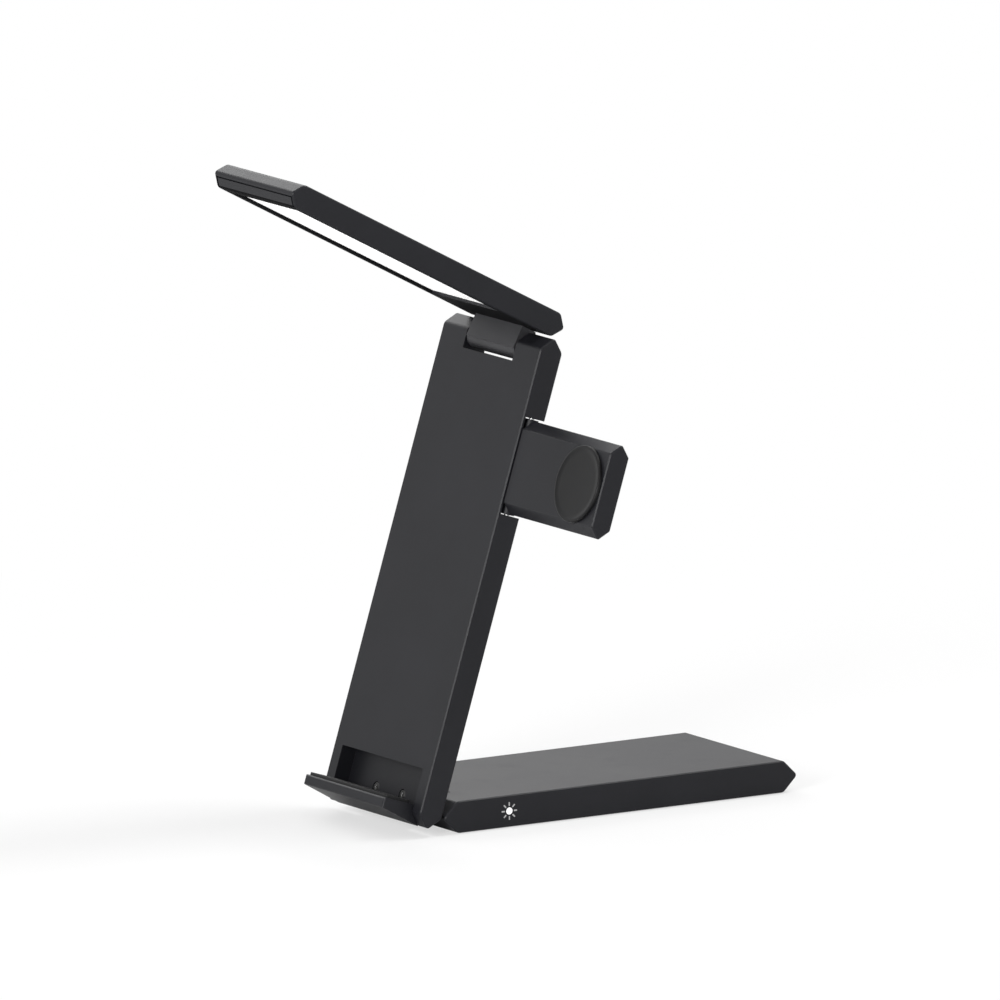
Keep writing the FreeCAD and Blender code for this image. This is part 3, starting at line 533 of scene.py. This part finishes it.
def gold_contact():
    """Plated contact strips of the power inlet."""
    finish = Finish("gold_contact", {"Metallic": 1.0})
    rub = finish.noise(0.4 * MM, detail=3.0)
    finish.feed({
        "Base Color": finish.mix(rub, (0.75, 0.5, 0.2, 1), (0.62, 0.4, 0.15, 1)),
        "Roughness": 0.25 + rub * 0.15,
    })
    return finish.done()


def middle(node):
    """Middle of a node's box."""
    low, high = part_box(node)
    return (low + high) / 2


def axes(first, second, third):
    """Turn whose columns are three directions."""
    return Matrix((first, second, third)).transposed()


def measure(node, turn):
    """Lowest and highest corner of a node, measured along turned axes."""
    back = turn.transposed()
    points = [back @ vertex.co for vertex in frame["nodes"][node].data.vertices]
    low = Vector([min(point[axis] for point in points) for axis in range(3)])
    high = Vector([max(point[axis] for point in points) for axis in range(3)])
    return low, high


def flat_direction(node):
    """Downward normal of a node's largest flat face."""
    faces = [face for face in frame["nodes"][node].data.polygons if face.normal.z < 0]
    return max(faces, key=lambda face: face.area).normal


def nodes_of(slot):
    """Nodes with a material slot."""
    return [node for node, taken in SLOT_OF.items() if taken == slot]


def dress(nodes, material):
    """Give nodes a material."""
    for node in nodes:
        for place in frame["nodes"][node].material_slots:
            place.material = material


def piece(name, mesh, material, body):
    """A new object that rides on a body."""
    made = bpy.data.objects.new(name, mesh)
    bpy.context.scene.collection.objects.link(made)
    mesh.materials.append(material)
    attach(made, body)
    return made


def mesh_from(name, builder):
    """Mesh from a bmesh, with outward normals and soft shading over shallow edges."""
    bmesh.ops.recalc_face_normals(builder, faces=builder.faces)
    for face in builder.faces:
        face.smooth = True
    for edge in builder.edges:
        edge.smooth = len(edge.link_faces) == 2 and edge.calc_face_angle(0) < SMOOTH_BELOW
    mesh = bpy.data.meshes.new(name)
    builder.to_mesh(mesh)
    builder.free()
    return mesh


def loft(builder, sections):
    """Skin rings of points, all with the same count, and cap the ends."""
    rings = [[builder.verts.new(point) for point in section] for section in sections]
    for ring, following in zip(rings, rings[1:]):
        for place in range(len(ring)):
            after = (place + 1) % len(ring)
            builder.faces.new((ring[place], ring[after], following[after], following[place]))
    builder.faces.new(rings[0])
    builder.faces.new(rings[-1])


def ribbed_pad(name, node, turn, corner, rib, groove, rim):
    """Soft pad in the room of a node: ribs along its second axis, working face along the third."""
    low, high = measure(node, turn)
    length = high.x - low.x
    half = (high.y - low.y) / 2
    centre = (high.y + low.y) / 2
    count = max(1, round(length / rib))
    steps = count * RIB_STEPS
    rows = [low.x + length * row / steps for row in range(steps + 1)]
    arc = [math.pi / 2 * part / RIM_STEPS for part in range(RIM_STEPS + 1)]
    sections = []
    for row in rows:
        inset = min(row - low.x, high.x - row)
        narrow = corner - math.sqrt(corner ** 2 - max(corner - inset, 0) ** 2)
        fall = rim - math.sqrt(rim ** 2 - max(rim - inset, 0) ** 2)
        phase = (row - low.x) / length * count
        valley = 0.5 + 0.5 * math.cos(2 * math.pi * phase)
        top = high.z - fall - groove * valley ** 2
        reach = half - narrow
        left = [(centre - reach + rim * (1 - math.cos(angle)), top - rim * (1 - math.sin(angle)))
                for angle in arc]
        right = [(2 * centre - across, up) for across, up in reversed(left)]
        outline = [(centre - reach, low.z)] + left + right + [(centre + reach, low.z)]
        sections.append([turn @ Vector((row, across, up)) for across, up in outline])
    builder = bmesh.new()
    loft(builder, sections)
    return mesh_from(name, builder)


def turned_solid(builder, turn, centre, profile, segments=96):
    """Solid turned about the third axis, from (radius, height) points that start and end on it."""
    top = builder.verts.new(turn @ Vector((centre.x, centre.y, profile[0][1])))
    foot = builder.verts.new(turn @ Vector((centre.x, centre.y, profile[-1][1])))
    rings = []
    for radius, height in profile[1:-1]:
        ring = []
        for part in range(segments):
            angle = 2 * math.pi * part / segments
            x = centre.x + radius * math.cos(angle)
            y = centre.y + radius * math.sin(angle)
            ring.append(builder.verts.new(turn @ Vector((x, y, height))))
        rings.append(ring)
    for part in range(segments):
        after = (part + 1) % segments
        builder.faces.new((top, rings[0][part], rings[0][after]))
        builder.faces.new((foot, rings[-1][after], rings[-1][part]))
        for ring, following in zip(rings, rings[1:]):
            builder.faces.new((ring[part], following[part], following[after], ring[after]))


def rounded(radius, height, bend, parts=5):
    """Points of a quarter round on a turned profile, from its face out to its wall."""
    angles = [math.pi / 2 * part / parts for part in range(parts + 1)]
    return [(radius - bend + bend * math.sin(angle), height - bend + bend * math.cos(angle))
            for angle in angles]


def cross_screw(name, turn, centre, foot, top):
    """Pan-head screw about the third axis, with a cross recess cut into its head."""
    head = SCREW_HEAD_RADIUS
    shank = 1.0 * MM
    head_foot = top - 1.5 * MM
    fall = 0.04 * MM
    flat_share = 0.45
    crown = [(0, top), (head * flat_share, top - fall)] + rounded(head, top - 2 * fall, 0.5 * MM)
    stem = [(head, head_foot), (shank, head_foot), (shank, foot), (0, foot)]
    builder = bmesh.new()
    turned_solid(builder, turn, centre, crown + stem, segments=48)
    solid = bpy.data.objects.new(name + "_blank", mesh_from(name + "_blank", builder))
    cutter = bmesh.new()
    wide = 0.24 * MM
    long = 1.05 * MM
    depth = 0.75 * MM
    clear = 0.2 * MM
    foot_share = 0.55
    arm = [(wide, wide), (wide, long), (-wide, long)]
    outline = []
    for _ in range(4):
        outline += arm
        arm = [(-y, x) for x, y in arm]
    sections = []
    for height, share in ((top - depth, foot_share), (top + clear, 1.0)):
        sections.append([turn @ Vector((centre.x + x * share, centre.y + y * share, height))
                         for x, y in outline])
    loft(cutter, sections)
    tool = bpy.data.objects.new(name + "_cross", mesh_from(name + "_cross", cutter))
    for made in (solid, tool):
        bpy.context.scene.collection.objects.link(made)
    cut = solid.modifiers.new("cross", "BOOLEAN")
    cut.operation = "DIFFERENCE"
    cut.solver = "EXACT"
    cut.object = tool
    shown = solid.evaluated_get(bpy.context.evaluated_depsgraph_get())
    result = bpy.data.meshes.new_from_object(shown)
    result.name = name
    for made in (solid, tool):
        bpy.data.objects.remove(made)
    return result


class STAND_OT_shells(bpy.types.Operator):
    """Give the moulded shells of the base, panel, ledge, arm and lamp their satin grain"""

    bl_idname = "stand.shells"
    bl_label = "Moulded shells"

    def execute(self, context):
        finish_sizes = context.scene.stand_finish
        dress(nodes_of("shell_charcoal"), charcoal_moulding(finish_sizes))
        # The hinge blocks get painted light: a paler copy of the shell plastic
        dress(["panel_hinge_block", "lamp_hinge_block"], hinge_moulding(finish_sizes))
        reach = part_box("lamp_diffuser")[1].x
        # The lamp frame gets painted shade: its downward faces and window walls are darkened
        dress(["lamp_bottom_frame"],
              lamp_frame_moulding(finish_sizes, flat_direction("lamp_diffuser"), reach))
        return {"FINISHED"}


class STAND_OT_soft_pads(bpy.types.Operator):
    """Make the ribbed foot pad under the base and the ribbed strip on the ledge"""

    bl_idname = "stand.soft_pads"
    bl_label = "Soft pads"

    def execute(self, context):
        rubber = soft_rubber(context.scene.stand_finish)
        downward = axes((1, 0, 0), (0, -1, 0), (0, 0, -1))
        foot = ribbed_pad("foot_pad_ribbed", "base_foot_pad", downward,
                          corner=5.9 * MM, rib=2.2 * MM, groove=0.35 * MM, rim=0.3 * MM)
        foot_piece = piece("foot_pad_ribbed", foot, rubber, "base")
        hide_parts("base_foot_pad")
        upward = axes(OUT, ACROSS, UP)
        strip = ribbed_pad("ledge_strip_ribbed", "ledge_pad", upward,
                           corner=0.8 * MM, rib=1.0 * MM, groove=0.16 * MM, rim=0.12 * MM)
        strip_piece = piece("ledge_strip_ribbed", strip, rubber, "phone_ledge")
        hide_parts("ledge_pad")
        return {"FINISHED"}


class STAND_OT_round_pad(bpy.types.Operator):
    """Turn the round charging pad of the arm, with a dished face and a raised rim"""

    bl_idname = "stand.round_pad"
    bl_label = "Round pad"

    dish: FloatProperty(
        name="Dish", description="Depth of the dished face", unit="LENGTH", default=0.35 * MM)
    rim: FloatProperty(
        name="Rim", description="Width of the raised rim", unit="LENGTH", default=1.4 * MM)
    lip: FloatProperty(
        name="Lip", description="Width of the step up to the rim", unit="LENGTH", default=0.25 * MM)
    edge: FloatProperty(
        name="Edge", description="Radius of the outer edge", unit="LENGTH", default=0.5 * MM)

    def execute(self, context):
        turn = axes(ACROSS, UP, OUT)
        low, high = measure("watch_puck", turn)
        centre = (low + high) / 2
        radius = (high.x - low.x) / 2
        inner = radius - self.rim
        floor = high.z - self.dish
        shares = [part / DISH_RINGS for part in range(DISH_RINGS + 1)]
        dish = [(inner * share, floor + self.dish * DISH_RISE * share ** 2) for share in shares]
        lip = [(inner + self.lip, high.z)]
        wall = rounded(radius, high.z, self.edge)
        foot = [(radius, low.z), (0, low.z)]
        builder = bmesh.new()
        turned_solid(builder, turn, centre, dish + lip + wall + foot)
        made = piece("round_pad", mesh_from("round_pad", builder),
                     pad_gloss(context.scene.stand_finish), "watch_arm")
        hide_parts("watch_puck")
        return {"FINISHED"}


class STAND_OT_lamp_window(bpy.types.Operator):
    """Light the lamp's window and finish the light board behind it"""

    bl_idname = "stand.lamp_window"
    bl_label = "Lamp window"

    def execute(self, context):
        dress(nodes_of("diffuser_white"), milky_window(context.scene.stand_finish))
        dress(nodes_of("light_board_white"), white_mask())
        dress(nodes_of("led_yellow"), light_chip())
        return {"FINISHED"}


class STAND_OT_touch_symbol(bpy.types.Operator):
    """Finish the sun symbol of the touch key"""

    bl_idname = "stand.touch_symbol"
    bl_label = "Touch symbol"

    def execute(self, context):
        dress(nodes_of("symbol_white"), glowing_symbol(context.scene.stand_finish))
        return {"FINISHED"}


class STAND_OT_power_inlet(bpy.types.Operator):
    """Finish the power inlet and lay the contact strips on its tongue"""

    bl_idname = "stand.power_inlet"
    bl_label = "Power inlet"

    strips: IntProperty(
        name="Strips", description="Contact strips on each side of the tongue", default=12)

    def execute(self, context):
        dress(nodes_of("inlet_steel"),
              drawn_steel("inlet_steel", tone=0.55, along=(0.2, 1, 1), roughness=0.3))
        low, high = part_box("usb_c_socket")
        centre = (low + high) / 2
        tongue_half = 0.35 * MM
        spread = 5.6 * MM
        front = high.x - 4.5 * MM
        back = high.x - 0.6 * MM
        wide = 0.13 * MM
        proud = 0.05 * MM
        ramp = 0.2 * MM
        tip_share = 0.6
        crown_share = 0.8
        builder = bmesh.new()
        for side in (-1, 1):
            for index in range(self.strips):
                y = centre.y - spread / 2 + spread * index / (self.strips - 1)
                base = centre.z + side * (tongue_half - proud)
                crown = centre.z + side * (tongue_half + proud)
                sunk = base - side * proud
                sections = []
                for x, level, width in ((front, base, wide * tip_share),
                                        (front + ramp, crown, wide), (back, crown, wide)):
                    top = width * crown_share
                    sections.append([(x, y - width, sunk), (x, y + width, sunk),
                                     (x, y + top, level), (x, y - top, level)])
                loft(builder, sections)
        piece("inlet_contacts", mesh_from("inlet_contacts", builder), gold_contact(),
              "base")
        return {"FINISHED"}


class STAND_OT_hardware(bpy.types.Operator):
    """Finish the hinge pins and screws, with a cross recess in the screws behind the ledge"""

    bl_idname = "stand.hardware"
    bl_label = "Pins and screws"

    def execute(self, context):
        black = blackened_steel()
        dress(nodes_of("pin_steel"),
              drawn_steel("pin_steel", tone=0.58, along=(0.1, 1, 1), roughness=0.24))
        dress(nodes_of("screw_steel"), black)
        turn = axes(ACROSS, UP, OUT)
        low, high = measure("panel_hinge_screws", turn)
        places = {"left": low.x + SCREW_HEAD_RADIUS, "right": high.x - SCREW_HEAD_RADIUS}
        for label, x in places.items():
            centre = Vector((x, (low.y + high.y) / 2, 0))
            mesh = cross_screw("hinge_screw_" + label, turn, centre, low.z, high.z)
            made = piece("hinge_screw_" + label, mesh, black, "phone_panel")
            if label == "left":
                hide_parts("panel_hinge_screws")
        return {"FINISHED"}


class STAND_OT_electronics(bpy.types.Operator):
    """Finish the coils, shields, boards, ballast and magnet inside the shells"""

    bl_idname = "stand.electronics"
    bl_label = "Inner works"

    def execute(self, context):
        for node in nodes_of("coil_copper"):
            dress([node], enamelled_copper("copper_" + node, node))
        dress(nodes_of("ferrite_grey"), sintered_ferrite())
        dress(nodes_of("board_green"), solder_mask())
        dress(nodes_of("ballast_steel"),
              drawn_steel("rolled_steel", tone=0.4, along=(1, 0.08, 1), roughness=0.38))
        dress(nodes_of("magnet_nickel"),
              drawn_steel("nickel_plate", tone=0.62, along=(1, 1, 1), roughness=0.14))
        return {"FINISHED"}


def seen_rays(weave):
    """1 for the rays that show a surface to the camera, straight, in gloss or through glass."""
    seen = [weave.node("ShaderNodeLightPath", {}, {}, ray)
            for ray in ("Is Camera Ray", "Is Glossy Ray", "Is Transmission Ray")]
    return weave.node("ShaderNodeClamp", {}, {"Value": seen[0] + seen[1] + seen[2]})


def set_floor(stage):
    """Pale floor under the stand, that fades into a white backdrop."""
    half = stage.floor_size / 2
    level = CAD_BOX[0][2]
    builder = bmesh.new()
    corners = ((-half, -half), (half, -half), (half, half), (-half, half))
    builder.faces.new([builder.verts.new((x, y, level)) for x, y in corners])
    finish = Finish("pale_floor", {"Specular IOR Level": 0.1, "Roughness": 0.9})
    haze = finish.noise(0.4, detail=2.0)
    colour = tuple(stage.floor_colour)
    finish.feed({"Base Color": finish.mix(haze, colour, lifted(colour, 0.99))})
    reach = finish.node("ShaderNodeVectorMath", {"operation": "LENGTH"}, {0: finish.place}, "Value")
    far = finish.step(reach, low=stage.floor_reach * FADE_START, high=stage.floor_reach)
    backdrop = finish.node("ShaderNodeEmission", {}, {"Color": shade(1), "Strength": 1.0})
    straight = finish.node("ShaderNodeLightPath", {}, {}, "Is Camera Ray")
    near = (1 - far) * straight * (1 - stage.floor_shadow)
    finish.cover(far * seen_rays(finish) + near, backdrop)
    mesh = mesh_from("floor", builder)
    mesh.materials.append(finish.done())
    floor = bpy.data.objects.new("floor", mesh)
    bpy.context.scene.collection.objects.link(floor)


def add_lamp(name, kind, energy, place, aim):
    """Add a lamp at a place, pointed at an aim, and return its settings."""
    data = bpy.data.lights.new(name, kind)
    data.energy = energy
    lamp = bpy.data.objects.new(name, data)
    lamp.location = place
    lamp.rotation_euler = (Vector(aim) - Vector(place)).to_track_quat("-Z", "Y").to_euler()
    lamp.visible_camera = False
    bpy.context.scene.collection.objects.link(lamp)
    return data


def set_sky(stage):
    """Even sky that is white behind the stand and in its gloss."""
    world = bpy.data.worlds.new("sky")
    world.use_nodes = True
    weave = Weave(world.node_tree)
    light = weave.node("ShaderNodeBackground", {}, {
        "Color": shade(1), "Strength": stage.sky + seen_rays(weave) * (1 - stage.sky)})
    weave.node("ShaderNodeOutputWorld", {}, {"Surface": light})
    bpy.context.scene.world = world


def set_lights(stage):
    """Even sky, a wide soft sun and three soft boxes."""
    set_sky(stage)
    aim = Vector(stage.camera_aim)
    sun = add_lamp("soft_sun", "SUN", stage.sun, aim + Vector(SUN_PLACE), aim)
    sun.angle = SUN_SPREAD
    for name, (place, width, height) in SOFT_BOXES.items():
        box = add_lamp(name, "AREA", getattr(stage, name), aim + Vector(place), aim)
        box.shape = "RECTANGLE"
        box.size = width
        box.size_y = height


def set_camera(stage):
    """Camera with a long lens, turned and rolled as the picture was taken."""
    turn = stage.camera_turn
    rise = stage.camera_rise
    roll = stage.camera_roll
    level = math.cos(rise)
    back = Vector((math.sin(turn) * level, -math.cos(turn) * level, math.sin(rise)))
    right = Vector((math.cos(turn), math.sin(turn), 0))
    up = back.cross(right)
    rolled_right = right * math.cos(roll) + up * math.sin(roll)
    rolled_up = up * math.cos(roll) - right * math.sin(roll)
    data = bpy.data.cameras.new("camera")
    data.sensor_width = SENSOR_WIDTH
    data.lens = stage.camera_scale * stage.camera_distance * SENSOR_WIDTH / IMAGE_WIDTH
    data.clip_start = 0.1
    data.clip_end = stage.camera_distance * 3
    camera = bpy.data.objects.new("camera", data)
    place = Vector(stage.camera_aim) + back * stage.camera_distance
    camera.matrix_world = Matrix.Translation(place) @ axes(rolled_right, rolled_up, back).to_4x4()
    bpy.context.scene.collection.objects.link(camera)
    bpy.context.scene.camera = camera


class STAND_OT_stage(bpy.types.Operator):
    """Set the floor, the lights and the camera"""

    bl_idname = "stand.stage"
    bl_label = "Stage"

    def execute(self, context):
        stage = context.scene.stand_stage
        context.scene.view_settings.view_transform = "Standard"
        set_floor(stage)
        set_lights(stage)
        set_camera(stage)
        return {"FINISHED"}


class STAND_PT_panel(bpy.types.Panel):
    """Steps that finish and stage the stand, with their settings"""

    bl_idname = "STAND_PT_panel"
    bl_label = "Charging stand"
    bl_space_type = "VIEW_3D"
    bl_region_type = "UI"
    bl_category = "Stand"

    def draw(self, context):
        for operator in OPERATORS:
            self.layout.operator(operator.bl_idname)
        for settings in (context.scene.stand_finish, context.scene.stand_stage):
            box = self.layout.box()
            for name in settings.bl_rna.properties.keys():
                if name not in ("rna_type", "name"):
                    box.prop(settings, name)


OPERATORS = (STAND_OT_shells, STAND_OT_soft_pads, STAND_OT_round_pad, STAND_OT_lamp_window,
             STAND_OT_touch_symbol, STAND_OT_power_inlet, STAND_OT_hardware, STAND_OT_electronics,
             STAND_OT_stage)
CLASSES = (StandFinish, StandStage) + OPERATORS + (STAND_PT_panel,)


def register():
    for kind in CLASSES:
        bpy.utils.register_class(kind)
    bpy.types.Scene.stand_finish = PointerProperty(type=StandFinish)
    bpy.types.Scene.stand_stage = PointerProperty(type=StandStage)


def unregister():
    del bpy.types.Scene.stand_stage
    del bpy.types.Scene.stand_finish
    for kind in reversed(CLASSES):
        bpy.utils.unregister_class(kind)


def main():
    """Finish and stage the stand."""
    register()
    bpy.ops.stand.shells()
    bpy.ops.stand.soft_pads()
    bpy.ops.stand.round_pad()
    bpy.ops.stand.lamp_window()
    bpy.ops.stand.touch_symbol()
    bpy.ops.stand.power_inlet()
    bpy.ops.stand.hardware()
    bpy.ops.stand.electronics()
    bpy.ops.stand.stage()


if __name__ == "__main__":
    main()
